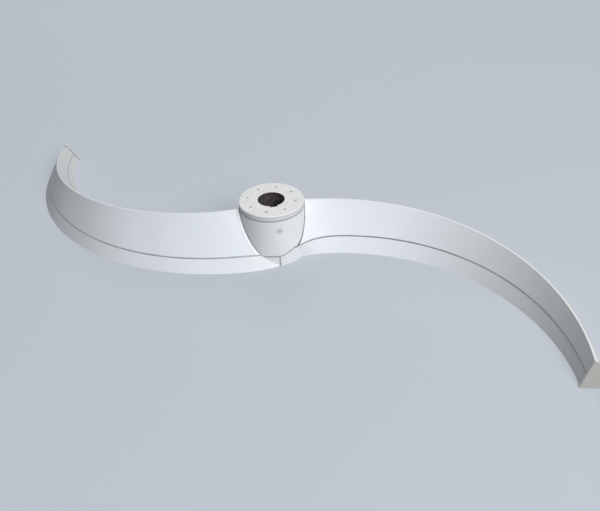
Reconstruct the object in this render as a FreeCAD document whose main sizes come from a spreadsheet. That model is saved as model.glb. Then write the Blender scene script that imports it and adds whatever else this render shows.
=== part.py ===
import FreeCAD, Part
import os
import Sketcher

# Two-armed S-shaped agitator: a steel hub and two curved steel blades, covered all over with white lining.
# Frame: origin on the shaft axis at the flat underside, +Z up the shaft. The left arm leaves the hub
# along -X and curves towards +Y; the right arm is the same arm turned half a turn about the shaft.
# Sizes are millimetres and degrees. Convex and concave name the two leaning faces of a blade.

DIMENSIONS = {
    # Hub
    "hub_dia": 125,
    "hub_height": 112,
    "bore_dia": 50,
    "key_width": 14,
    "key_depth": 3.8,
    "hub_clocking": 4.7,
    # Lining
    "lining": 5,
    "fit_gap": 0.1,
    "cap_rim": 11,
    "cap_joint": 1,
    "cap_edge": 1.2,
    "bottom_hole_margin": 1,
    # Screws that hold the cap
    "screw_circle": 92,
    "screw_count": 8,
    "screw_phase": 22.5,
    "screw_dia": 3,
    "screw_length": 12,
    "screw_clearance": 0.2,
    "head_dia": 5.5,
    "head_height": 3,
    "head_recess_dia": 6.2,
    "head_sink": 0.4,
    "hex_width": 2.5,
    "hex_depth": 1.3,
    # Arms: plan shape
    "ridge_radius": 390,
    "arm_sweep": 112.6,
    # Arms: triangular section, at the root, at the tip, and what the middle has over their mean
    "ridge_root": 105,
    "ridge_tip": 42.5,
    "ridge_crown": 10.5,
    "convex_root": 68,
    "convex_tip": 23.5,
    "convex_crown": 8,
    "concave_root": 39,
    "concave_tip": 19,
    "concave_crown": 11,
    "ridge_flat": 3,
    # Arms: how the two faces run out on to the hub
    "flare": 48,
    "flare_foot": 8.5,
    "flare_reach": 125,
    "flare_start": 30,
    "shoulder": 0.76,
    "tuck": 6,
    "tuck_reach": 50,
    # Welded seams of the lining
    "convex_seam_root": 26.5,
    "convex_seam_tip": 23.5,
    "convex_seam_crown": -1.5,
    "concave_seam_root": 30,
    "concave_seam_tip": 18.5,
    "concave_seam_crown": 6,
    "seam_drop": 6,
    "seam_drop_reach": 80,
    "band_height": 21,
    "band_step": 10,
    "band_run": 27,
    "weld_width": 2.4,
    "weld_crown": 0.7,
    "weld_gap": 0.05,
    "root_weld": 6,
    # End plates
    "plate_thickness": 5,
    "plate_overhang": 2,
    "plate_lean": 12.5,
    "plate_round": 4,
    "trim_reach": 60,
}


def graded(last, count=15, growth=1.12):
    """Shares of an arm's sweep at which its section is drawn: close together at the hub, wider later."""
    return tuple(0.01 + (last - 0.01) * (growth ** k - 1) / (growth ** (count - 1) - 1) for k in range(count))


# The sheets are drawn past the tip, where the leaning end is cut; the steel stops short of the end plate
STATIONS = graded(1.07)
HUB_STATIONS = STATIONS[:6]
CORE_STATIONS = graded(0.97)
SIDES = (("left", 0), ("right", 180))

doc = FreeCAD.newDocument("agitator")


def build_sheet(dimensions):
    """Put every driving dimension in its own named cell."""
    sheet = doc.addObject("Spreadsheet::Sheet", "dims")
    for row, (name, value) in enumerate(dimensions.items(), start=1):
        sheet.set("A%d" % row, name)
        sheet.set("B%d" % row, str(value))
        sheet.setAlias("B%d" % row, name)
    doc.recompute()
    return sheet


sheet = build_sheet(DIMENSIONS)


def number(expression):
    """The present value of a sheet expression, used only to place sketch points before they are bound."""
    value = sheet.evalExpression(expression)
    return float(getattr(value, "Value", value))


# Bodies and sketches

def new_body(label, turn=0):
    """A body whose Label names its file, turned about the shaft axis."""
    body = doc.addObject("PartDesign::Body", label)
    body.Label = label
    body.AllowCompound = True
    body.Placement = FreeCAD.Placement(FreeCAD.Vector(), FreeCAD.Rotation(FreeCAD.Vector(0, 0, 1), turn))
    return body


def new_sketch(body, name, role, lift="0", turn_axis=(0, 0, 1), turn="0"):
    """A sketch on one of the body's origin planes, lifted along its normal and turned about an axis."""
    sketch = body.newObject("Sketcher::SketchObject", name)
    plane = [feature for feature in body.Origin.OriginFeatures if feature.Role == role][0]
    sketch.AttachmentSupport = [(plane, "")]
    sketch.MapMode = "FlatFace"
    rotation = FreeCAD.Rotation(FreeCAD.Vector(*turn_axis), number(turn))
    sketch.AttachmentOffset = FreeCAD.Placement(FreeCAD.Vector(0, 0, number(lift)), rotation)
    if lift != "0":
        sketch.setExpression("AttachmentOffset.Base.z", lift)
    if turn != "0":
        sketch.setExpression("AttachmentOffset.Rotation.Angle", turn)
    return sketch


def bind(sketch, kind, expression, *places):
    """Add one dimension and bind it to a sheet expression."""
    index = sketch.addConstraint(Sketcher.Constraint(kind, *places, number(expression)))
    sketch.setExpression("Constraints[%d]" % index, expression)


def pin_point(sketch, geometry, point, x, y):
    """Fix one point of a sketch at a pair of expressions; "0" puts it on the axis."""
    if x == "0":
        sketch.addConstraint(Sketcher.Constraint("PointOnObject", geometry, point, -2))
    else:
        bind(sketch, "DistanceX", x, -1, 1, geometry, point)
    if y == "0":
        sketch.addConstraint(Sketcher.Constraint("PointOnObject", geometry, point, -1))
    else:
        bind(sketch, "DistanceY", y, -1, 1, geometry, point)


def draw_polygon(sketch, corners):
    """A closed outline of straight lines through pairs of expressions."""
    points = [FreeCAD.Vector(number(x), number(y), 0) for x, y in corners]
    first = sketch.GeometryCount
    count = len(points)
    for i in range(count):
        sketch.addGeometry(Part.LineSegment(points[i], points[(i + 1) % count]))
    for i in range(count):
        sketch.addConstraint(Sketcher.Constraint("Coincident", first + i, 2, first + (i + 1) % count, 1))
    for i, (x, y) in enumerate(corners):
        pin_point(sketch, first + i, 1, x, y)
    return sketch


def draw_circle(sketch, diameter, x="0", y="0"):
    """A circle of a given diameter expression."""
    centre = FreeCAD.Vector(number(x), number(y), 0)
    index = sketch.addGeometry(Part.Circle(centre, FreeCAD.Vector(0, 0, 1), number(diameter) / 2))
    if x == "0" and y == "0":
        sketch.addConstraint(Sketcher.Constraint("Coincident", index, 3, -1, 1))
    else:
        pin_point(sketch, index, 3, x, y)
    bind(sketch, "Diameter", diameter, index)
    return sketch


# Features

def pad(body, sketch, length=None, midplane=False):
    feature = body.newObject("PartDesign::Pad", "Pad")
    feature.Profile = sketch
    feature.setExpression("Length", length)
    feature.Midplane = midplane
    return feature


def pocket(body, sketch, length=None, midplane=False, reverse=False):
    """Cut a sketch out of the body, to a depth or right through."""
    feature = body.newObject("PartDesign::Pocket", "Pocket")
    feature.Profile = sketch
    feature.Midplane = midplane
    feature.Reversed = reverse
    if length is None:
        feature.Type = "ThroughAll"
    else:
        feature.setExpression("Length", length)
    return feature


def loft(body, sketches, subtract=False):
    kind = "PartDesign::SubtractiveLoft" if subtract else "PartDesign::AdditiveLoft"
    feature = body.newObject(kind, "Loft")
    feature.Profile = sketches[0]
    feature.Sections = sketches[1:]
    feature.Ruled = False
    return feature


def pick_edges(feature, wanted):
    doc.recompute()
    return ["Edge%d" % (i + 1) for i, edge in enumerate(feature.Shape.Edges) if wanted(edge)]


def round_edges(body, feature, wanted, radius):
    """Fillet those edges of a feature that the wanted function picks."""
    names = pick_edges(feature, wanted)
    fillet = body.newObject("PartDesign::Fillet", "Fillet")
    fillet.Base = (feature, names)
    fillet.setExpression("Radius", radius)
    return fillet


def bevel_edges(body, feature, wanted, size):
    """Chamfer those edges of a feature that the wanted function picks."""
    names = pick_edges(feature, wanted)
    chamfer = body.newObject("PartDesign::Chamfer", "Chamfer")
    chamfer.Base = (feature, names)
    chamfer.setExpression("Size", size)
    return chamfer


# The blade section at a share of the arm's sweep, as expressions

class Section:
    """Corners of the blade at one station, across from the arc's centre and up from the base."""

    def __init__(self, share):
        self.share = share
        self.along = "(dims.ridge_radius * dims.arm_sweep * pi / 180 * %g)" % share
        self.height = self.taper("ridge")
        self.convex = "(%s - dims.tuck * %s)" % (self.taper("convex"), self.fade("dims.tuck_reach"))
        self.concave = self.taper("concave")
        self.flare = self.fade("dims.flare_reach", "dims.flare_start")
        self.convex_slope = "(%s / %s)" % (self.height, self.convex)
        self.concave_slope = "(%s / %s)" % (self.height, self.concave)

    def taper(self, name):
        share = self.share
        parts = (1 - share, name, share, name, 4 * share * (1 - share), name)
        return "(%g * dims.%s_root + %g * dims.%s_tip + %g * dims.%s_crown)" % parts

    def fade(self, reach, start="0"):
        """Falls from one at the hub to nothing at a distance along the arm."""
        return "(max(0; 1 - max(%s; %s) / %s)^2)" % (self.along, start, reach)

    def seam(self, side, step):
        """Height of a seam's lower (-1), middle (0) or upper (1) edge."""
        drop = "dims.seam_drop * %s" % self.fade("dims.seam_drop_reach") if side == "convex" else "0"
        return "(%s - %s + %g * dims.weld_width / 2)" % (self.taper(side + "_seam"), drop, step)

    def convex_at(self, height, wall="0"):
        """The point of the convex face at a height, or of its inner side a wall deeper."""
        inset = "(%s) * sqrt(1 + %s^2) / %s" % (wall, self.convex_slope, self.convex_slope)
        return ("dims.ridge_radius + %s * (1 - (%s) / %s) - %s" % (
            self.convex, height, self.height, inset), height)

    def concave_at(self, height, wall="0", flare="dims.flare"):
        """The point of the concave face at a height, or of its inner side a wall deeper."""
        inset = "(%s) * sqrt(1 + %s^2) / %s" % (wall, self.concave_slope, self.concave_slope)
        return ("dims.ridge_radius - %s * (1 - (%s) / %s) - %s * %s + %s" % (
            self.concave, height, self.height, flare, self.flare, inset), height)

    def ridge_ends(self, wall="0", rise="0"):
        """The two ends of the narrow flat on the ridge, or of one a wall deeper and a rise higher."""
        above = "(1 - dims.shoulder)"
        run = "((%s * %s + dims.flare * %s) / (%s * %s))" % (self.concave, above, self.flare, above, self.height)
        drop = "(dims.ridge_flat / (1 / %s + %s))" % (self.convex_slope, run)
        inset = "(%s) * sqrt(1 + %s^2) / %s" % (wall, self.concave_slope, self.concave_slope)
        top = "(%s - %s)" % (self.height, drop)
        raised = "(%s + %s)" % (top, rise)
        return [(self.convex_at(top, wall)[0], raised),
                ("dims.ridge_radius - %s * %s + %s" % (drop, run, inset), raised)]

    def shoulder(self, wall="0"):
        return self.concave_at("dims.shoulder * %s" % self.height, wall)

    def foot(self, wall="0", height="0"):
        return self.concave_at(height, wall, "dims.flare_foot")

    def apex(self, wall="0"):
        """The ridge, or where the two inner sides meet under it."""
        convex_drop = "(%s) * sqrt(1 + %s^2)" % (wall, self.convex_slope)
        concave_drop = "(%s) * sqrt(1 + %s^2)" % (wall, self.concave_slope)
        shift = "((%s - %s) / (%s + %s))" % (concave_drop, convex_drop, self.convex_slope, self.concave_slope)
        top = "%s - %s - %s * %s" % (self.height, convex_drop, self.convex_slope, shift)
        return ("dims.ridge_radius + %s" % shift, top)


WALL = "dims.lining"
CORE = "(dims.lining + dims.fit_gap)"


def full_outline(section, wall="0", floor="0"):
    """The whole section, or what a wall of the lining encloses."""
    bend = section.seam("concave", -1)
    return [section.convex_at(floor, wall), section.apex(wall), section.shoulder(wall),
            section.concave_at(bend, wall), section.foot(wall, floor)]


def cover_outline(section):
    """The sheet bent over the ridge, down to the upper edges of both seams."""
    convex = section.seam("convex", 1)
    concave = section.seam("concave", 1)
    return [section.convex_at(convex)] + section.ridge_ends() + [
        section.shoulder(), section.concave_at(concave), section.concave_at(concave, WALL),
        section.shoulder(WALL), section.apex(WALL), section.convex_at(convex, WALL)]


def tray_outline(section):
    """The flat underside with its two upturned sides, up to the lower edges of both seams."""
    convex = section.seam("convex", -1)
    concave = section.seam("concave", -1)
    return [section.convex_at("0"), section.convex_at(convex), section.convex_at(convex, WALL),
            section.convex_at(WALL, WALL), section.foot(WALL, WALL), section.concave_at(concave, WALL),
            section.concave_at(concave), section.foot()]


def weld_outline(section, side):
    """A bead that fills the seam and stands a little proud of the two sheets."""
    face = section.convex_at if side == "convex" else section.concave_at
    sign = "+" if side == "convex" else "-"
    low = section.seam(side, -1) + " + dims.weld_gap"
    high = section.seam(side, 1) + " - dims.weld_gap"
    middle = section.seam(side, 0)
    crown = "%s %s dims.weld_crown" % (face(middle)[0], sign)
    inner = "dims.lining - dims.weld_gap"
    return [face(low), (crown, middle), face(high), face(high, inner), face(low, inner)]


def strip_outline(section):
    """A thin strip that lies on the bent cover, from one seam over the ridge to the other."""
    convex = section.seam("convex", 1)
    concave = section.seam("concave", 1)
    far = "-dims.weld_crown"
    near = "-dims.fit_gap"
    return [section.convex_at(convex, far)] + section.ridge_ends(far, "dims.weld_crown") + [
        section.shoulder(far), section.concave_at(concave, far),
        section.concave_at(concave, near), section.shoulder(near)] + list(
            reversed(section.ridge_ends(near, "dims.fit_gap"))) + [section.convex_at(convex, near)]


def station_sketches(body, outline, stations=STATIONS, opposite=False):
    """One sketch of the outline at each station, standing square to the arc of the arm."""
    lift = "dims.ridge_radius" if opposite else "-dims.ridge_radius"
    sketches = []
    for share in stations:
        turn = "%d + %g * dims.arm_sweep" % (270 if opposite else 90, share)
        sketch = new_sketch(body, "Station", "XZ_Plane", lift, (0, -1, 0), turn)
        draw_polygon(sketch, outline(Section(share)))
        sketches.append(sketch)
    return sketches


# Cuts that several pieces share

def clear_tip(body, back="0", keep_outer=False):
    """Cut off what lies outside the leaning plane of the arm's end, or what lies inside it."""
    sketch = new_sketch(body, "Tip", "XZ_Plane", "-dims.ridge_radius", (0, -1, 0), "dims.arm_sweep")
    slope = "dims.plate_lean / dims.ridge_tip"
    low = "(%s - dims.lining * %s)" % (back, slope)
    high = "(%s + dims.hub_height * %s)" % (back, slope)
    far = "(dims.trim_reach)" if keep_outer else "(-dims.trim_reach)"
    draw_polygon(sketch, [(low, "-dims.lining"), (high, "dims.hub_height"),
                          (far, "dims.hub_height"), (far, "-dims.lining")])
    return pocket(body, sketch, "2 * (dims.ridge_radius + dims.hub_dia)", midplane=True)


def clear_cylinder(body, diameter, start="0"):
    """Remove everything within a circle about the shaft, from a height upwards."""
    sketch = new_sketch(body, "Clear", "XY_Plane", start)
    draw_circle(sketch, diameter)
    return pocket(body, sketch, "2 * dims.hub_height", reverse=True)


def clear_arms(body, wall):
    """Remove the space that both arms take up next to the hub."""
    for opposite in (False, True):
        sketches = station_sketches(
            body, lambda section: full_outline(section, wall, "-dims.fit_gap"), HUB_STATIONS, opposite)
        loft(body, sketches, subtract=True)


def band_line(lift):
    """The line of the seam round the front of the hub, from the left arm to the right one."""
    low = "dims.band_height + %s" % lift
    high = "dims.band_height + dims.band_step + %s" % lift
    return [("-dims.hub_dia", low), ("0", low), ("dims.band_run", high), ("dims.hub_dia", high)]


def clear_band(body, lift, above):
    """Cut along the seam round the hub, in front and behind, and remove what is above or below it."""
    limit = "2 * dims.hub_height" if above else "-dims.lining"
    for turn, reverse in (("0", True), ("180", True)):
        sketch = new_sketch(body, "Band", "XZ_Plane", "0", (0, -1, 0), turn)
        draw_polygon(sketch, band_line(lift) + [("dims.hub_dia", limit), ("-dims.hub_dia", limit)])
        pocket(body, sketch, "dims.hub_dia", reverse=reverse)


SLEEVE_BORE = "dims.hub_dia - 2 * dims.lining + 2 * dims.fit_gap"
ROOT_REACH = "dims.hub_dia + 2 * dims.root_weld"


# Steel parts

def cut_bore(body, start):
    """Bore and keyway, from a height upwards."""
    clear_cylinder(body, "dims.bore_dia", start)
    sketch = new_sketch(body, "Keyway", "XY_Plane", start, (0, 0, -1), "dims.hub_clocking")
    half = "dims.key_width / 2"
    deep = "-(dims.bore_dia / 2 + dims.key_depth)"
    draw_polygon(sketch, [("-(%s)" % half, "0"), (half, "0"), (half, deep), ("-(%s)" % half, deep)])
    return pocket(body, sketch, "2 * dims.hub_height", reverse=True)


def screw_position(i):
    angle = "(%d * 360 / dims.screw_count + dims.screw_phase - dims.hub_clocking) * 1 deg" % i
    return "dims.screw_circle / 2 * cos(%s)" % angle, "dims.screw_circle / 2 * sin(%s)" % angle


def draw_screw_circle(sketch, diameter):
    """Equal circles on the screw circle, spaced about the keyway."""
    for i in range(DIMENSIONS["screw_count"]):
        draw_circle(sketch, diameter, *screw_position(i))
    return sketch


def build_hub():
    """The turned steel boss with its keyed bore and eight tapped holes."""
    body = new_body("steel_hub")
    sketch = new_sketch(body, "Round", "XY_Plane", CORE)
    draw_circle(sketch, "dims.hub_dia - 2 * dims.lining")
    pad(body, sketch, "dims.hub_height - dims.lining - %s" % CORE)
    cut_bore(body, CORE)
    holes = new_sketch(body, "Tapped", "XY_Plane", "dims.hub_height - dims.lining")
    draw_screw_circle(holes, "dims.screw_dia + dims.fit_gap")
    pocket(body, holes, "dims.screw_length + dims.screw_dia / 2")
    return body


def build_core(side, turn):
    """A steel blade, from the hub to the tip, inside its lining."""
    body = new_body(side + "_blade_core", turn)
    loft(body, station_sketches(body, lambda section: full_outline(section, CORE, CORE), CORE_STATIONS))
    clear_cylinder(body, SLEEVE_BORE, "-dims.lining")
    return body


def build_screws():
    """Eight socket-head screws sunk in the cap."""
    body = new_body("cap_screws")
    top = "dims.hub_height - dims.head_sink"
    heads = new_sketch(body, "Heads", "XY_Plane", top + " - dims.head_height")
    draw_screw_circle(heads, "dims.head_dia")
    pad(body, heads, "dims.head_height")
    shanks = new_sketch(body, "Shanks", "XY_Plane", top + " - dims.head_height - dims.screw_length")
    draw_screw_circle(shanks, "dims.screw_dia")
    pad(body, shanks, "dims.screw_length")
    sockets = new_sketch(body, "Sockets", "XY_Plane", top)
    for i in range(DIMENSIONS["screw_count"]):
        x, y = screw_position(i)
        hexagon = []
        for corner in range(6):
            reach = "dims.hex_width / sqrt(3)"
            hexagon.append(("%s + %s * cos(%d deg)" % (x, reach, 60 * corner),
                            "%s + %s * sin(%d deg)" % (y, reach, 60 * corner)))
        draw_polygon(sockets, hexagon)
    pocket(body, sockets, "dims.hex_depth")
    return body


# Lining round the hub

def build_cap():
    """The lining disc on top of the hub, with its rim, its bore and eight counterbored holes."""
    body = new_body("top_cap")
    sketch = new_sketch(body, "Round", "XY_Plane", "dims.hub_height - dims.cap_rim")
    draw_circle(sketch, "dims.hub_dia")
    disc = pad(body, sketch, "dims.cap_rim")
    bevel_edges(body, disc, lambda edge: edge.CenterOfMass.z > DIMENSIONS["hub_height"] - 1, "dims.cap_edge")
    inside = new_sketch(body, "Inside", "XY_Plane", "dims.hub_height - dims.lining")
    draw_circle(inside, SLEEVE_BORE)
    pocket(body, inside, "dims.cap_rim")
    cut_bore(body, "dims.hub_height - dims.cap_rim")
    through = new_sketch(body, "Clearances", "XY_Plane", "dims.hub_height")
    draw_screw_circle(through, "dims.screw_dia + 2 * dims.screw_clearance")
    pocket(body, through, "dims.cap_rim")
    recess = new_sketch(body, "Recesses", "XY_Plane", "dims.hub_height")
    draw_screw_circle(recess, "dims.head_recess_dia")
    pocket(body, recess, "dims.head_sink + dims.head_height")
    return body


def build_sleeve():
    """The lining tube round the hub, notched where the arms leave it."""
    body = new_body("hub_sleeve")
    sketch = new_sketch(body, "Round", "XY_Plane")
    draw_circle(sketch, "dims.hub_dia")
    pad(body, sketch, "dims.hub_height - dims.cap_rim - dims.cap_joint")
    clear_cylinder(body, SLEEVE_BORE)
    clear_band(body, "dims.weld_width", above=False)
    clear_arms(body, "-3 * dims.fit_gap")
    return body


def build_band_welds():
    """The beads in front and behind where the tube stands on the lower lining."""
    body = new_body("hub_seam_welds")
    sketch = new_sketch(body, "Round", "XY_Plane")
    draw_circle(sketch, "dims.hub_dia + 2 * dims.weld_crown")
    pad(body, sketch, "dims.hub_height / 2")
    clear_cylinder(body, SLEEVE_BORE)
    clear_band(body, "dims.weld_gap", above=False)
    clear_band(body, "dims.weld_width - dims.weld_gap", above=True)
    clear_arms(body, "-(dims.weld_crown + dims.fit_gap)")
    return body


def build_splice_welds():
    """The beads that join the two lower linings under the hub and up its front and back."""
    body = new_body("splice_welds")
    sketch = new_sketch(body, "Strip", "XY_Plane", "0", (0, 0, -1), "dims.hub_clocking")
    half = "(dims.weld_width / 2 - dims.weld_gap)"
    reach = "(dims.hub_dia / 2 + dims.weld_crown)"
    draw_polygon(sketch, [("-" + half, "-" + reach), (half, "-" + reach), (half, reach), ("-" + half, reach)])
    pad(body, sketch, "dims.hub_height / 2")
    clear_band(body, "0", above=True)
    clear_cylinder(body, SLEEVE_BORE, "dims.lining")
    clear_cylinder(body, "dims.bore_dia + 2 * dims.bottom_hole_margin")
    return body


# Lining of the arms

def build_lower_lining(side, turn):
    """Half the floor and foot of the hub, running out into the tray under one arm."""
    body = new_body(side + "_lower_lining", turn)
    sketch = new_sketch(body, "Round", "XY_Plane")
    draw_circle(sketch, "dims.hub_dia")
    pad(body, sketch, "dims.hub_height / 2")
    clear_band(body, "0", above=True)
    half = new_sketch(body, "Half", "XY_Plane", "0", (0, 0, -1), "dims.hub_clocking")
    edge = "-dims.weld_width / 2"
    wide = "dims.hub_dia"
    draw_polygon(half, [(edge, "-" + wide), (wide, "-" + wide), (wide, wide), (edge, wide)])
    pocket(body, half, "dims.hub_height", reverse=True)
    opening = "(dims.lining - 3 * dims.fit_gap)"
    passage = station_sketches(body, lambda section: full_outline(section, opening, opening), HUB_STATIONS)
    loft(body, passage, subtract=True)
    loft(body, station_sketches(body, tray_outline))
    clear_cylinder(body, SLEEVE_BORE, WALL)
    clear_cylinder(body, "dims.bore_dia + 2 * dims.bottom_hole_margin")
    clear_tip(body, "(dims.plate_thickness + dims.weld_width)")
    return body


def round_ridge(body, feature, radius, longer):
    """Fillet the highest of the edges that are longer than a length."""
    doc.recompute()
    highest = max(edge.CenterOfMass.z for edge in feature.Shape.Edges if edge.Length > longer)
    return round_edges(body, feature, lambda edge: edge.Length > longer and
                       edge.CenterOfMass.z > highest - 0.01, radius)


def build_cover(side, turn):
    """The sheet bent over the ridge of one arm."""
    body = new_body(side + "_blade_cover", turn)
    loft(body, station_sketches(body, cover_outline))
    clear_cylinder(body, SLEEVE_BORE)
    clear_cylinder(body, "dims.hub_dia + 2 * dims.fit_gap", "dims.hub_height - dims.cap_rim - dims.cap_joint")
    clear_tip(body, "(dims.plate_thickness + dims.weld_width)")
    return body


def build_seam_welds(side, turn):
    """The two long beads of one arm."""
    body = new_body(side + "_seam_welds", turn)
    for face in ("convex", "concave"):
        loft(body, station_sketches(body, lambda section: weld_outline(section, face)))
    clear_cylinder(body, "dims.hub_dia + 2 * dims.fit_gap")
    clear_tip(body, "(dims.plate_thickness + dims.weld_width)")
    return body


def build_root_weld(side, turn):
    """The strip welded over the joint between the sheets of one arm and the lining of the hub."""
    body = new_body(side + "_root_weld", turn)
    loft(body, station_sketches(body, strip_outline, HUB_STATIONS))
    sketch = new_sketch(body, "Beyond", "XY_Plane", "-dims.lining")
    draw_circle(sketch, "4 * dims.hub_dia")
    draw_circle(sketch, ROOT_REACH)
    pocket(body, sketch, "2 * dims.hub_height", reverse=True)
    clear_cylinder(body, "dims.hub_dia + 2 * dims.fit_gap", "-dims.lining")
    return body


def end_sketch(body, wall, floor="0"):
    """The arm's section near its end: as wide as at the very end, as high as where the plate's top stands."""
    foot = Section(0.99)
    top = Section(0.98)
    sketch = new_sketch(body, "End", "XZ_Plane", "-dims.ridge_radius", (0, -1, 0), "90 + dims.arm_sweep")
    return draw_polygon(sketch, [foot.convex_at(floor, wall), top.apex(wall), foot.concave_at(floor, wall)])


def end_block(body, wall, radius):
    """A prism along the heading of the arm's end, with a rounded ridge."""
    prism = pad(body, end_sketch(body, wall), "dims.trim_reach", midplane=True)
    return round_ridge(body, prism, radius, DIMENSIONS["plate_lean"])


def build_end_weld(side, turn):
    """The bead between the sheets of the arm and its end plate."""
    body = new_body(side + "_end_weld", turn)
    end_block(body, "-dims.weld_crown", "dims.ridge_flat")
    inner = "(dims.lining - dims.weld_gap)"
    pocket(body, end_sketch(body, inner, inner), midplane=True)
    clear_tip(body, "(dims.plate_thickness + dims.weld_gap)")
    clear_tip(body, "(dims.plate_thickness + dims.weld_width - dims.weld_gap)", keep_outer=True)
    return body


def build_end_plate(side, turn):
    """The leaning plate that closes the lining at the tip."""
    body = new_body(side + "_end_plate", turn)
    end_block(body, "-dims.plate_overhang", "dims.plate_round")
    clear_tip(body)
    clear_tip(body, "dims.plate_thickness", keep_outer=True)
    return body


bodies = [build_hub(), build_cap(), build_screws(), build_sleeve(), build_band_welds(), build_splice_welds()]
for side, turn in SIDES:
    bodies.append(build_core(side, turn))
    bodies.append(build_lower_lining(side, turn))
    bodies.append(build_cover(side, turn))
    bodies.append(build_seam_welds(side, turn))
    bodies.append(build_root_weld(side, turn))
    bodies.append(build_end_weld(side, turn))
    bodies.append(build_end_plate(side, turn))

doc.recompute()


def check_and_export(bodies):
    for item in doc.Objects:
        if "Invalid" in item.State or "Error" in item.State:
            raise RuntimeError("%s failed: %s" % (item.Label, item.State))
    for body in bodies:
        if body.Shape.isNull() or not body.Shape.isValid():
            raise RuntimeError("%s has no valid shape" % body.Label)
    os.makedirs("parts", exist_ok=True)
    for body in bodies:
        body.Shape.exportStep("parts/%s.step" % body.Label)
        print("%-20s solids %d volume %9.0f" % (body.Label, len(body.Shape.Solids), body.Shape.Volume))


check_and_export(bodies)
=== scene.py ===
# %% [markdown]
# # A lined agitator, dressed for its portrait
#
# The object is a rigid two-armed impeller for a process vessel. A steel hub and two curved steel blades
# are covered all over with white fluoropolymer sheet, about 5 mm thick, which is bent, butted and welded.
# The exact shapes come from the imported CAD model, so this lesson is about what the eye meets next: the
# waxy skin of the sheet, the turned face of the cap, the thin grey weld beads and the dark steel of the
# bore. Every length below is in metres, in the same frame as the CAD model, unless its name says
# otherwise.

# %% Load the frame
import bpy
import bmesh
import math
from mathutils import Matrix, Vector

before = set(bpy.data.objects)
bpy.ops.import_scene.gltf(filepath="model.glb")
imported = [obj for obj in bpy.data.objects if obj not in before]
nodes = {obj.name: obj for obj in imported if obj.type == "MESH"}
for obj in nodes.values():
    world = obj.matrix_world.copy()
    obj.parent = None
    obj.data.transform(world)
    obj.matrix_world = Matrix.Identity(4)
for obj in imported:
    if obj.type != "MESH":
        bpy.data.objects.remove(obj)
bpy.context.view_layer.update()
print("pieces from the CAD model:", sorted(nodes))

# %% [markdown]
# ## The camera
#
# The photograph was taken from above and in front with a normal lens. Its place was worked out from the
# hub's round face and from the ridges of the arms, which are circle arcs seen from above. A camera in
# Blender looks along its own -Z, with +Y up and +X to the right, so those three directions in the scene's
# frame are all that its matrix needs.

# %% Place the camera
CAMERA_PLACE = Vector((-0.29358, -1.24546, 0.87664))
CAMERA_TURN = math.radians(15.486)
CAMERA_DOWN = math.radians(35.093)
CAMERA_ROLL = math.radians(-2.721)
FOCAL_PIXELS = 781.85
FRAME_WIDTH_PIXELS = 600
SENSOR_MILLIMETRES = 36.0
NEAREST_SEEN = 0.05


def camera_matrix(place, turn, down, roll):
    """The camera's matrix from its heading, its tilt below the horizon and its roll."""
    forward = Vector((math.sin(turn) * math.cos(down), math.cos(turn) * math.cos(down), -math.sin(down)))
    level = Vector((math.cos(turn), -math.sin(turn), 0))
    upright = level.cross(forward)
    right = math.cos(roll) * level + math.sin(roll) * upright
    up = math.cos(roll) * upright - math.sin(roll) * level
    rotation = Matrix((right, up, -forward)).transposed().to_4x4()
    return Matrix.Translation(place) @ rotation


camera_data = bpy.data.cameras.new("portrait_camera")
camera_data.sensor_width = SENSOR_MILLIMETRES
camera_data.sensor_fit = "HORIZONTAL"
camera_data.lens = FOCAL_PIXELS / FRAME_WIDTH_PIXELS * SENSOR_MILLIMETRES
camera_data.clip_start = NEAREST_SEEN
camera = bpy.data.objects.new("portrait_camera", camera_data)
bpy.context.scene.collection.objects.link(camera)
camera.matrix_world = camera_matrix(CAMERA_PLACE, CAMERA_TURN, CAMERA_DOWN, CAMERA_ROLL)
bpy.context.scene.camera = camera
bpy.context.scene.view_settings.view_transform = "Standard"
print("lens %.1f mm" % camera_data.lens)

# %% [markdown]
# ## Floor and world
#
# The object lies on a plain pale floor. Its paleness is partly a colour that only the camera, mirrors and
# glass see, through Light Path, so that it throws no extra light up on the white plastic. The world
# behind it is pale in the same way, while the light that it gives is weak and cool and only keeps the
# shadows open. Both need the same few nodes. A node group would be the usual way to share them, but the
# export can't read Light Path inside one, so a helper builds them in place.


# %% A plain material
def shader_of(material):
    """The Principled shader of a material."""
    return material.node_tree.nodes["Principled BSDF"]


def plain_material(name, colour, roughness):
    """A material of one even colour."""
    material = bpy.data.materials.new(name)
    material.use_nodes = True
    shader_of(material).inputs["Base Color"].default_value = colour
    shader_of(material).inputs["Roughness"].default_value = roughness
    return material


# %% What only the camera, mirrors and glass see
def math_node(tree, operation, first, second=None):
    """One Math node; each operand is a number or another node's socket."""
    node = tree.nodes.new("ShaderNodeMath")
    node.operation = operation
    for index, operand in enumerate((first, second)):
        if operand is None:
            continue
        if isinstance(operand, (int, float)):
            node.inputs[index].default_value = operand
        else:
            tree.links.new(operand, node.inputs[index])
    return node.outputs[0]


def seen_share(tree):
    """A socket that is one for the rays of the camera, of mirrors and of glass, and else nothing."""
    path = tree.nodes.new("ShaderNodeLightPath")
    seen = path.outputs["Is Camera Ray"]
    for label in ("Is Glossy Ray", "Is Transmission Ray"):
        seen = math_node(tree, "MAXIMUM", seen, path.outputs[label])
    return seen


# %% Lay the floor
FLOOR_SIZE = 12.0
FLOOR_COLOUR = (0.26, 0.27, 0.29, 1)
FLOOR_GLOW = (0.28, 0.31, 0.345, 1)
FLOOR_ROUGHNESS = 0.9

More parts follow.
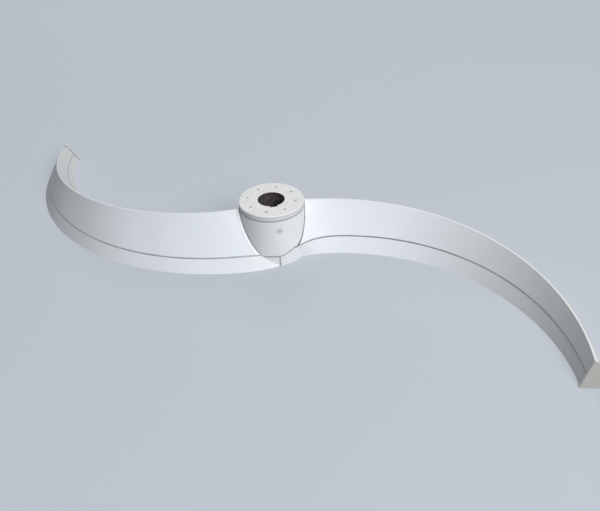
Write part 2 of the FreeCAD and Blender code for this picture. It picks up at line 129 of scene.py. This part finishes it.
floor_grid = bmesh.new()
bmesh.ops.create_grid(floor_grid, x_segments=1, y_segments=1, size=FLOOR_SIZE / 2)
floor_mesh = bpy.data.meshes.new("studio_floor")
floor_grid.to_mesh(floor_mesh)
floor_grid.free()
floor = bpy.data.objects.new("studio_floor", floor_mesh)
floor_paper = plain_material("floor_paper", FLOOR_COLOUR, FLOOR_ROUGHNESS)
shader_of(floor_paper).inputs["Emission Color"].default_value = FLOOR_GLOW
paper_tree = floor_paper.node_tree
paper_tree.links.new(seen_share(paper_tree), shader_of(floor_paper).inputs["Emission Strength"])
floor_mesh.materials.append(floor_paper)
bpy.context.scene.collection.objects.link(floor)
print("floor %.0f m wide" % FLOOR_SIZE)

# %% Light the world
WORLD_COLOUR = (0.86, 0.92, 1.0, 1)
WORLD_STRENGTH = 0.16
WORLD_SHOWN = 0.6

world = bpy.data.worlds.new("studio_world")
world.use_nodes = True
sky_tree = world.node_tree
background = sky_tree.nodes["Background"]
background.inputs["Color"].default_value = WORLD_COLOUR
strength = sky_tree.nodes.new("ShaderNodeMapRange")
strength.inputs["To Min"].default_value = WORLD_STRENGTH
strength.inputs["To Max"].default_value = WORLD_SHOWN
sky_tree.links.new(seen_share(sky_tree), strength.inputs["Value"])
sky_tree.links.new(strength.outputs["Result"], background.inputs["Strength"])
bpy.context.scene.world = world
print("world strength %.2f as light and %.2f as backdrop" % (WORLD_STRENGTH, WORLD_SHOWN))

# %% [markdown]
# ## Lamps
#
# White plastic only shows its form when one side is darker than the other. In the photograph the faces
# that look to the front are nearly white and those that look to the left are mid grey, so one large soft
# lamp stands in front and a little to the right. It is far away, because a near one would light the
# nearer arm more than the other. A second, much weaker lamp stands behind, so that the object still reads
# as white from there.

# %% Place the lamps
KEY_PLACE = (1.10, -3.84, 3.01)
KEY_SIZE = 2.2
KEY_POWER = 214
BACK_PLACE = (0.665, 3.772, 3.214)
BACK_SIZE = 2.6
BACK_POWER = 68


def soft_lamp(name, place, size, power):
    """A square area lamp that faces the foot of the shaft."""
    data = bpy.data.lights.new(name, "AREA")
    data.shape = "SQUARE"
    data.size = size
    data.energy = power
    lamp = bpy.data.objects.new(name, data)
    aim = (-Vector(place)).to_track_quat("-Z", "Y")
    lamp.matrix_world = Matrix.Translation(place) @ aim.to_matrix().to_4x4()
    bpy.context.scene.collection.objects.link(lamp)
    print("%s: %d W from %.1f m away" % (name, power, Vector(place).length))


soft_lamp("key_lamp", KEY_PLACE, KEY_SIZE, KEY_POWER)
soft_lamp("back_lamp", BACK_PLACE, BACK_SIZE, BACK_POWER)

# %% [markdown]
# ## Effects that several finishes share
#
# A node group is a small machine of shader nodes with named sockets. It is built once and placed in each
# material with its own values. Seven are made here: clouding, lathe rings, the ripple of a weld bead, and
# four masks. The masks go by the distance from the shaft, by the distance from a point, by height, and by
# the way a face looks. The helpers come first, because every group is mostly sums of sockets.


# %% Start a group, and add up products in it
def new_group(name, defaults, labels):
    """An empty shader group: its tree, the sockets that come in and the sockets that go out."""
    tree = bpy.data.node_groups.new(name, "ShaderNodeTree")
    for label, value in defaults.items():
        socket = tree.interface.new_socket(label, in_out="INPUT", socket_type="NodeSocketFloat")
        socket.default_value = value
    for label in labels:
        tree.interface.new_socket(label, in_out="OUTPUT", socket_type="NodeSocketFloat")
    return tree, tree.nodes.new("NodeGroupInput").outputs, tree.nodes.new("NodeGroupOutput").inputs


def sum_of_products(tree, pairs):
    """The products of pairs of sockets, added up."""
    total = None
    for first, second in pairs:
        product = math_node(tree, "MULTIPLY", first, second)
        total = product if total is None else math_node(tree, "ADD", total, product)
    return total


# %% Read a place, measure from the shaft, and send out a mask
def split(tree, vector):
    """The X, Y and Z parts of a vector."""
    parts = tree.nodes.new("ShaderNodeSeparateXYZ")
    tree.links.new(vector, parts.inputs[0])
    return parts.outputs


def object_place(tree):
    """Object coordinates: where a point of the surface lies in the scene's frame."""
    return tree.nodes.new("ShaderNodeTexCoord").outputs["Object"]


def shaft_distance(tree, parts):
    """The distance of a place from the shaft's axis."""
    return math_node(tree, "SQRT", sum_of_products(tree, [(parts[0], parts[0]), (parts[1], parts[1])]))


def send_mask(tree, value, outputs):
    """Hold a value between 0 and 1 and send it out as the group's mask."""
    clamp = tree.nodes.new("ShaderNodeClamp")
    tree.links.new(value, clamp.inputs["Value"])
    tree.links.new(clamp.outputs["Result"], outputs["Mask"])


# %% Soft noise
def noise(tree, place, scale, detail=2, roughness=0.5):
    """Soft noise at a number of patches per metre."""
    node = tree.nodes.new("ShaderNodeTexNoise")
    node.inputs["Detail"].default_value = detail
    node.inputs["Roughness"].default_value = roughness
    tree.links.new(place, node.inputs["Vector"])
    if isinstance(scale, (int, float)):
        node.inputs["Scale"].default_value = scale
    else:
        tree.links.new(scale, node.inputs["Scale"])
    return node.outputs["Fac"]


# %% [markdown]
# ### Clouding
#
# Handled plastic is never one white: faint cool and warm patches wander over it, with fine specks among
# them. A painted picture would show that too, but then every piece would have to be unwrapped. Two layers
# of noise on Object coordinates need no unwrapping, and the pattern runs on from one piece to the next.


# %% Build the clouding
def build_clouding():
    """Mask that wanders slowly over the surface, with fine specks in it, and the specks alone."""
    defaults = {"Patches": 9.0, "Specks": 420.0, "Speck share": 0.15}
    tree, inputs, outputs = new_group("clouding", defaults, ["Mask", "Fine"])
    place = object_place(tree)
    broad = noise(tree, place, inputs["Patches"], detail=4, roughness=0.55)
    fine = noise(tree, place, inputs["Specks"], roughness=0.6)
    share = math_node(tree, "MULTIPLY", fine, inputs["Speck share"])
    tree.links.new(math_node(tree, "ADD", broad, share), outputs["Mask"])
    tree.links.new(fine, outputs["Fine"])
    return tree


clouding = build_clouding()
print("clouding:", len(clouding.nodes), "nodes")

# %% [markdown]
# ### Lathe rings
#
# The cap's face was turned, and the tool left fine rings about the shaft's axis. A Wave texture makes
# rings too, but a sine of the distance from the axis takes its pitch in metres, and a little noise can
# push the rings out of true.

# %% Build the lathe rings
RING_DRIFT_SCALE = 60


def build_lathe_rings():
    """Height of fine rings about the shaft's axis."""
    tree, inputs, outputs = new_group("lathe_rings", {"Pitch": 0.0012, "Wander": 0.35}, ["Height"])
    place = object_place(tree)
    parts = split(tree, place)
    turns = math_node(tree, "DIVIDE", shaft_distance(tree, parts), inputs["Pitch"])
    drift = math_node(tree, "MULTIPLY", noise(tree, place, RING_DRIFT_SCALE), inputs["Wander"])
    phase = math_node(tree, "MULTIPLY", math_node(tree, "ADD", turns, drift), 2 * math.pi)
    tree.links.new(math_node(tree, "SINE", phase), outputs["Height"])
    return tree


lathe_rings = build_lathe_rings()
print("lathe rings:", len(lathe_rings.nodes), "nodes")

# %% [markdown]
# ### Bead ripple
#
# A weld bead laid by hand is a row of overlapping scales. The arms' seams follow arcs about a centre on
# the Y axis, so the angle about that centre, times the arc's radius, is the way along the bead. Each
# pitch of it is one scale. The scales could be modelled, but each is only about two pixels long here, so
# a height for the bump is enough.

# %% Build the bead ripple
ARM_RADIUS = 0.39
RIPPLE_UNEVEN_SCALE = 90


def build_bead_ripple():
    """Height of the overlapping scales of a bead that follows an arc about a centre on the Y axis."""
    tree, inputs, outputs = new_group("bead_ripple", {"Centre": ARM_RADIUS, "Pitch": 0.0035}, ["Height"])
    place = object_place(tree)
    parts = split(tree, place)
    offset = math_node(tree, "SUBTRACT", parts[1], inputs["Centre"])
    angle = math_node(tree, "ARCTAN2", parts[0], offset)
    steps = math_node(tree, "DIVIDE", math_node(tree, "MULTIPLY", angle, ARM_RADIUS), inputs["Pitch"])
    uneven = math_node(tree, "ADD", steps, noise(tree, place, RIPPLE_UNEVEN_SCALE))
    scale = math_node(tree, "FRACT", uneven)
    tree.links.new(math_node(tree, "SQRT", scale), outputs["Height"])
    return tree


bead_ripple = build_bead_ripple()
print("bead ripple:", len(bead_ripple.nodes), "nodes")

# %% [markdown]
# ### Nearness to the shaft
#
# The lining is soiled round the hub, the arms turn warmer towards their ends, and the bore has a dark
# lip. All of that depends on the distance from the shaft, so one mask with its own radius and fade serves
# for it. Splitting the pieces and giving each part a colour would leave hard edges.


# %% Build the nearness mask
def build_near_shaft():
    """Mask that is nothing beyond a radius about the shaft and grows to one over a fade inside it."""
    tree, inputs, outputs = new_group("near_shaft", {"Radius": 0.03, "Fade": 0.001}, ["Mask"])
    parts = split(tree, object_place(tree))
    inside = math_node(tree, "SUBTRACT", inputs["Radius"], shaft_distance(tree, parts))
    send_mask(tree, math_node(tree, "DIVIDE", inside, inputs["Fade"]), outputs)
    return tree


near_shaft = build_near_shaft()
print("nearness to the shaft:", len(near_shaft.nodes), "nodes")

# %% [markdown]
# ### A soft spot
#
# One grey finger mark sits on the front of the hub. A decal would need its own small mesh. A mask by the
# distance from a point, roughened with noise, colours the piece that is there.

# %% Build the soft spot
SPOT_EDGE = 1.5
SPOT_NOISE_SCALE = 400
SPOT_NOISE_SHARE = 0.8


def build_soft_spot():
    """Soft uneven spot about a point, from one in its middle to nothing at about its reach."""
    tree, inputs, outputs = new_group("soft_spot", {"X": 0, "Y": 0, "Z": 0, "Reach": 0.006}, ["Mask"])
    place = object_place(tree)
    parts = split(tree, place)
    offsets = [math_node(tree, "SUBTRACT", part, inputs[label]) for label, part in zip("XYZ", parts)]
    away = math_node(tree, "SQRT", sum_of_products(tree, zip(offsets, offsets)))
    distance = math_node(tree, "DIVIDE", away, inputs["Reach"])
    rough = math_node(tree, "MULTIPLY", noise(tree, place, SPOT_NOISE_SCALE), SPOT_NOISE_SHARE)
    uneven = math_node(tree, "ADD", distance, rough)
    send_mask(tree, math_node(tree, "SUBTRACT", SPOT_EDGE, uneven), outputs)
    return tree


soft_spot = build_soft_spot()
print("soft spot:", len(soft_spot.nodes), "nodes")

# %% [markdown]
# ### A level line
#
# Under the cap runs a thin joint, and the shade in its gap is painted on as a grey line. It is level all
# the way round, so a mask by height draws it on both pieces that meet there. It is whole within one width
# of its height and gone at one and a half.

# %% Build the level line
LINE_EDGE = 1.5
LINE_STEEPNESS = 2


def build_level_line():
    """Mask that is one within a width of a height above the underside."""
    tree, inputs, outputs = new_group("level_line", {"Height": 0.1, "Width": 0.001}, ["Mask"])
    parts = split(tree, object_place(tree))
    away = math_node(tree, "ABSOLUTE", math_node(tree, "SUBTRACT", parts[2], inputs["Height"]))
    widths = math_node(tree, "DIVIDE", away, inputs["Width"])
    fading = math_node(tree, "SUBTRACT", LINE_EDGE, widths)
    send_mask(tree, math_node(tree, "MULTIPLY", fading, LINE_STEEPNESS), outputs)
    return tree


level_line = build_level_line()
print("level line:", len(level_line.nodes), "nodes")

# %% [markdown]
# ### The way a face looks
#
# The ridges of the arms get a painted highlight that makes them paler than their sides, and painted shade
# makes the side of the cap greyer than its face and the broad faces of the end plates darker than their
# rims. These faces could be given materials of their own by hand, but a mask that compares each face's
# normal with a direction finds them by itself.

# %% Build the facing mask
FACING_STEEPNESS = 30


def build_facing():
    """Mask for the faces that look along a direction, or against it."""
    tree, inputs, outputs = new_group("facing", {"X": 0, "Y": 0, "Z": 1, "Start": 0.9}, ["Mask"])
    normal = split(tree, tree.nodes.new("ShaderNodeNewGeometry").outputs["Normal"])
    agreement = sum_of_products(tree, [(part, inputs[label]) for label, part in zip("XYZ", normal)])
    rise = math_node(tree, "SUBTRACT", math_node(tree, "ABSOLUTE", agreement), inputs["Start"])
    send_mask(tree, math_node(tree, "MULTIPLY", rise, FACING_STEEPNESS), outputs)
    return tree


facing = build_facing()
print("facing:", len(facing.nodes), "nodes")

# %% [markdown]
# ## The finishes
#
# Every finish starts in the same way. Its colour moves between two near shades through the clouding mask,
# and its roughness moves with it. Where the real surface has a grain, a bump raises it, and where it is
# marked or worn, a tint goes over the colour through a mask. The helpers below do one of these each.

# %% Place a group, ramp a colour and raise a bump
CLOUD_START = 0.35
CLOUD_STOP = 0.75


def place_group(material, group, **values):
    """Put a shared group in a material and set its inputs."""
    node = material.node_tree.nodes.new("ShaderNodeGroup")
    node.node_tree = group
    for label, value in values.items():
        node.inputs[label.replace("_", " ")].default_value = value
    return node


def colour_between(material, mask, low, high):
    """A colour ramp from one colour to another, fed by a mask."""
    ramp = material.node_tree.nodes.new("ShaderNodeValToRGB")
    ramp.color_ramp.elements[0].position = CLOUD_START
    ramp.color_ramp.elements[1].position = CLOUD_STOP
    ramp.color_ramp.elements[0].color = (*low, 1)
    ramp.color_ramp.elements[1].color = (*high, 1)
    material.node_tree.links.new(mask, ramp.inputs["Fac"])
    return ramp.outputs["Color"]


def add_bump(material, height, depth, strength):
    """Feed a height into the shader's normal."""
    node = material.node_tree.nodes.new("ShaderNodeBump")
    node.inputs["Strength"].default_value = strength
    node.inputs["Distance"].default_value = depth
    material.node_tree.links.new(height, node.inputs["Height"])
    material.node_tree.links.new(node.outputs["Normal"], shader_of(material).inputs["Normal"])


# %% Start a clouded finish
def clouded_finish(name, shades, roughness, **values):
    """A material whose colour and roughness both follow the clouding mask, and its clouding."""
    low, high = shades
    material = plain_material(name, (*high, 1), roughness[0])
    cloud = place_group(material, clouding, **values)
    shader = shader_of(material)
    links = material.node_tree.links
    links.new(colour_between(material, cloud.outputs["Mask"], low, high), shader.inputs["Base Color"])
    spread = material.node_tree.nodes.new("ShaderNodeMapRange")
    spread.inputs["To Min"].default_value = roughness[0]
    spread.inputs["To Max"].default_value = roughness[1]
    links.new(cloud.outputs["Mask"], spread.inputs["Value"])
    links.new(spread.outputs["Result"], shader.inputs["Roughness"])
    print("finish:", name)
    return material, cloud


# %% Lay a tint over a finish
MIX_SHARE = 0
MIX_UNDER = 6
MIX_OVER = 7
MIX_RESULT = 2


def tint(material, mask, colour, amount):
    """Mix a colour over what already feeds the base colour, by a mask."""
    # A Mix node has sockets for numbers, vectors and colours under the same names, so these go by number.
    tree = material.node_tree
    base_colour = shader_of(material).inputs["Base Color"]
    mix = tree.nodes.new("ShaderNodeMix")
    mix.data_type = "RGBA"
    tree.links.new(math_node(tree, "MULTIPLY", mask, amount), mix.inputs[MIX_SHARE])
    tree.links.new(base_colour.links[0].from_socket, mix.inputs[MIX_UNDER])
    mix.inputs[MIX_OVER].default_value = (*colour, 1)
    tree.links.new(mix.outputs[MIX_RESULT], base_colour)


def all_but(material, mask):
    """The opposite of a mask."""
    return math_node(material.node_tree, "SUBTRACT", 1.0, mask)


def broken(material, mask, cloud, start, stop):
    """A mask broken up by the fine specks of a clouding."""
    spread = material.node_tree.nodes.new("ShaderNodeMapRange")
    spread.inputs["From Min"].default_value = start
    spread.inputs["From Max"].default_value = stop
    material.node_tree.links.new(cloud.outputs["Fine"], spread.inputs["Value"])
    return math_node(material.node_tree, "MULTIPLY", mask, spread.outputs["Result"])


def tint_outer_end(material, radius, fade, colour, amount):
    """Lay a tint over an arm that grows towards its outer end."""
    inner = place_group(material, near_shaft, Radius=radius, Fade=fade)
    tint(material, all_but(material, inner.outputs["Mask"]), colour, amount)


# %% [markdown]
# ### The white sheet
#
# The sheet is white with a cool cast and a quiet, waxy shine. A fluoropolymer bends light less than other
# plastics, so it also mirrors less, and its Specular IOR Level is below the usual half. A little light
# sinks into the real sheet. From this far a fairly rough surface gives the same soft look at less cost,
# so there is no subsurface light here. Each ridge is paler with a painted highlight, the lower lining is
# soiled near the hub, and the outer ends are a little darker and warmer.

# %% Finish the covers
SHEET_SHADES = ((0.79, 0.83, 0.88), (0.87, 0.90, 0.94))
SHEET_ROUGHNESS = (0.55, 0.66)
SHEET_SPECULAR = 0.28
GRAIN_DEPTH = 0.0002
GRAIN_STRENGTH = 0.25
RIDGE_HIGHLIGHT_WHITE = (0.95, 0.95, 0.96)
# The arms turn darker and warmer towards their outer ends.
END_DARKENING = {"radius": 0.62, "fade": 0.34, "colour": (0.74, 0.74, 0.69), "amount": 0.6}


def white_sheet(name, shades, roughness, **values):
    """White lining sheet with a fine grain and little mirroring, and its clouding."""
    material, cloud = clouded_finish(name, shades, roughness, **values)
    add_bump(material, cloud.outputs["Fine"], GRAIN_DEPTH, GRAIN_STRENGTH)
    shader_of(material).inputs["Specular IOR Level"].default_value = SHEET_SPECULAR
    return material, cloud


sheet_white, _ = white_sheet("sheet_white", SHEET_SHADES, SHEET_ROUGHNESS, Patches=7.0, Specks=500.0)
# Painted highlight: the upward faces of the sheet, the ridges, are laid over with white.
ridge_highlight = place_group(sheet_white, facing)
tint(sheet_white, ridge_highlight.outputs["Mask"], RIDGE_HIGHLIGHT_WHITE, amount=0.5)
tint_outer_end(sheet_white, **END_DARKENING)

# %% Finish the lower linings
SOIL_BROWN = (0.55, 0.50, 0.42)

tray_white, cloud = white_sheet("tray_white", SHEET_SHADES, SHEET_ROUGHNESS, Patches=7.0, Specks=500.0)
handled = place_group(tray_white, near_shaft, Radius=0.125, Fade=0.05)
soil = broken(tray_white, handled.outputs["Mask"], cloud, start=0.45, stop=0.7)
tint(tray_white, soil, SOIL_BROWN, amount=0.35)
tint_outer_end(tray_white, **END_DARKENING)

# %% [markdown]
# ### The hub sleeve
#
# The sleeve round the hub is the same sheet, rolled and a little smoother and warmer. It carries the
# finger mark at the front, and a thin dark line of painted shade along its top edge, where it meets the
# cap.

# %% Finish the hub sleeve
SLEEVE_SHADES = ((0.785, 0.80, 0.825), (0.87, 0.89, 0.915))
SLEEVE_ROUGHNESS = (0.48, 0.6)
FINGER_GREY = (0.38, 0.40, 0.45)
JOINT_SHADE_GREY = (0.15, 0.16, 0.17)

sleeve_white, _ = white_sheet("sleeve_white", SLEEVE_SHADES, SLEEVE_ROUGHNESS, Patches=14.0, Specks=380.0)
finger_mark = place_group(sleeve_white, soft_spot, X=-0.0028, Y=-0.0624, Z=0.0784, Reach=0.0072)
tint(sleeve_white, finger_mark.outputs["Mask"], FINGER_GREY, amount=0.75)
# Painted shade of the joint's gap: a dark line along the sleeve's top edge.
top_joint_shade = place_group(sleeve_white, level_line, Height=0.1, Width=0.0006)
tint(sleeve_white, top_joint_shade.outputs["Mask"], JOINT_SHADE_GREY, amount=0.7)

# %% [markdown]
# ### The turned cap
#
# The cap is the same plastic after turning: duller and more neutral, with fine rings, brownish specks and
# more mottling. Its side is made greyer than its face with painted shade, the joint under it is darkened
# with painted shade, and a thin ring round the bore is nearly black where the lining ends.

# %% Finish the cap
CAP_SHADES = ((0.80, 0.805, 0.80), (0.93, 0.935, 0.93))
CAP_ROUGHNESS = (0.6, 0.75)
CAP_SPECULAR = 0.25
RING_DEPTH = 0.00006
RING_STRENGTH = 0.35
FLECK_BROWN = (0.55, 0.50, 0.46)
CAP_SIDE_SHADE_GREY = (0.60, 0.61, 0.62)
BORE_LIP_BLACK = (0.05, 0.04, 0.038)

cap_white, cloud = clouded_finish("turned_cap_white", CAP_SHADES, CAP_ROUGHNESS,
                                  Patches=55.0, Specks=600.0, Speck_share=0.35)
shader_of(cap_white).inputs["Specular IOR Level"].default_value = CAP_SPECULAR
add_bump(cap_white, place_group(cap_white, lathe_rings).outputs["Height"], RING_DEPTH, RING_STRENGTH)
flecks = broken(cap_white, cloud.outputs["Mask"], cloud, start=0.5, stop=0.62)
tint(cap_white, flecks, FLECK_BROWN, amount=0.25)
# Painted shade of the joint's gap: a dark line along the cap's lower edge.
under_joint_shade = place_group(cap_white, level_line, Height=0.1011, Width=0.0005)
tint(cap_white, under_joint_shade.outputs["Mask"], JOINT_SHADE_GREY, amount=0.55)
cap_face = place_group(cap_white, facing, Start=0.5)
# Painted shade: the side of the cap, all but its upward face, is laid over with grey.
tint(cap_white, all_but(cap_white, cap_face.outputs["Mask"]), CAP_SIDE_SHADE_GREY, amount=0.7)
bore_lip = place_group(cap_white, near_shaft, Radius=0.0262, Fade=0.0006)
tint(cap_white, bore_lip.outputs["Mask"], BORE_LIP_BLACK, amount=1.0)

# %% [markdown]
# ### The weld beads
#
# The beads are the same plastic, melted, and look grey beside the sheet. Those along the left arm get a
# paler copy of the grey as painted light, and those along the right a darker copy as painted shade, each
# rippled about its own arm's centre. The root welds, where an arm meets the hub, are broader and as white
# as the sheet, with a thin dark edge at the sleeve.

# %% Finish the beads along the arms
BEAD_ROUGHNESS = (0.4, 0.55)
# The paler bead grey is painted light and the darker one painted shade, two copies of one bead.
LIT_BEAD_SHADES = ((0.30, 0.31, 0.33), (0.46, 0.47, 0.49))
SHADED_BEAD_SHADES = ((0.17, 0.18, 0.19), (0.30, 0.31, 0.32))
OUTER_BEAD_GREY = (0.50, 0.51, 0.51)
RIPPLE_DEPTH = 0.0004
RIPPLE_STRENGTH = 0.6


def bead_material(name, shades, centre):
    """A weld bead rippled about an arm's centre, a little paler towards the arm's end."""
    material, _ = clouded_finish(name, shades, BEAD_ROUGHNESS, Patches=60.0, Specks=500.0)
    ripple = place_group(material, bead_ripple, Centre=centre)
    add_bump(material, ripple.outputs["Height"], RIPPLE_DEPTH, RIPPLE_STRENGTH)
    tint_outer_end(material, radius=0.6, fade=0.35, colour=OUTER_BEAD_GREY, amount=0.6)
    return material


lit_bead = bead_material("lit_weld_bead", LIT_BEAD_SHADES, ARM_RADIUS)
shaded_bead = bead_material("shaded_weld_bead", SHADED_BEAD_SHADES, -ARM_RADIUS)

# %% Finish the root welds
ROOT_SHADES = ((0.74, 0.77, 0.80), (0.88, 0.90, 0.92))
ROOT_EDGE_GREY = (0.16, 0.17, 0.18)
ROOT_LUMP_DEPTH = 0.0006
ROOT_LUMP_STRENGTH = 0.4

root_white, cloud = clouded_finish("root_weld_white", ROOT_SHADES, BEAD_ROUGHNESS,
                                   Patches=90.0, Specks=600.0, Speck_share=0.5)
add_bump(root_white, cloud.outputs["Mask"], ROOT_LUMP_DEPTH, ROOT_LUMP_STRENGTH)
root_edge = place_group(root_white, near_shaft, Radius=0.0642, Fade=0.0006)
tint(root_white, root_edge.outputs["Mask"], ROOT_EDGE_GREY, amount=1.0)

# %% [markdown]
# ### The steel
#
# Two steels show. The wall of the bore is dark, brown and mottled, and mirrors a little. The cap's screws
# are paler and duller, as if filmed over. Both are the clouded finish with most or half of its look
# metallic.

# %% Finish the bore and the screws
BORE_SHADES = ((0.07, 0.058, 0.054), (0.40, 0.35, 0.33))
BORE_ROUGHNESS = (0.35, 0.5)
BORE_METALLIC = 0.85
SCREW_SHADES = ((0.34, 0.32, 0.31), (0.52, 0.49, 0.47))
SCREW_ROUGHNESS = (0.4, 0.55)
SCREW_METALLIC = 0.5

bore_steel, _ = clouded_finish("bore_steel", BORE_SHADES, BORE_ROUGHNESS, Patches=220.0, Specks=700.0)
shader_of(bore_steel).inputs["Metallic"].default_value = BORE_METALLIC
screw_steel, _ = clouded_finish("screw_steel", SCREW_SHADES, SCREW_ROUGHNESS, Patches=300.0, Specks=900.0)
shader_of(screw_steel).inputs["Metallic"].default_value = SCREW_METALLIC

# %% [markdown]
# ### The end plates
#
# Each arm ends in a leaning plate. Its rim is white, and its broad face, which looks out along the arm,
# is darkened with painted shade, grey with a warm cast. So the facing mask is turned the way that the arm
# runs there.

# %% Finish the end plates
PLATE_SHADES = ((0.74, 0.74, 0.73), (0.84, 0.84, 0.84))
PLATE_ROUGHNESS = (0.42, 0.55)
PLATE_GRAIN_DEPTH = 0.0003
PLATE_GRAIN_STRENGTH = 0.3
PLATE_FACE_SHADE_GREY = (0.40, 0.395, 0.37)

plate_white, cloud = clouded_finish("end_plate_white", PLATE_SHADES, PLATE_ROUGHNESS,
                                    Patches=40.0, Specks=500.0)
add_bump(plate_white, cloud.outputs["Fine"], PLATE_GRAIN_DEPTH, PLATE_GRAIN_STRENGTH)
# Painted shade: the broad face of each plate is laid over with grey.
shaded_plate_face = place_group(plate_white, facing, X=0.384, Y=0.923, Z=0.0, Start=0.9)
tint(plate_white, shaded_plate_face.outputs["Mask"], PLATE_FACE_SHADE_GREY, amount=0.95)

# %% [markdown]
# ## Dress the pieces
#
# Each CAD node is one piece with one finish, so its material slots are emptied and given that one. The
# beads of the hub, of the bottom splices and of the left arm share the paler grey of painted light.

# %% Give each CAD node its finish
FINISH_OF_NODE = {
    "top_cap": cap_white, "hub_sleeve": sleeve_white, "steel_hub": bore_steel, "cap_screws": screw_steel,
    "left_blade_cover": sheet_white, "right_blade_cover": sheet_white,
    "left_lower_lining": tray_white, "right_lower_lining": tray_white,
    "left_end_plate": plate_white, "right_end_plate": plate_white,
    "left_blade_core": bore_steel, "right_blade_core": bore_steel,
    "left_root_weld": root_white, "right_root_weld": root_white,
    "hub_seam_welds": lit_bead, "splice_welds": lit_bead,
    "left_seam_welds": lit_bead, "left_end_weld": lit_bead,
    "right_seam_welds": shaded_bead, "right_end_weld": shaded_bead,
}
for name, node in nodes.items():
    finish = FINISH_OF_NODE[name]
    node.data.materials.clear()
    node.data.materials.append(finish)
    print("%-20s %s" % (name, finish.name))
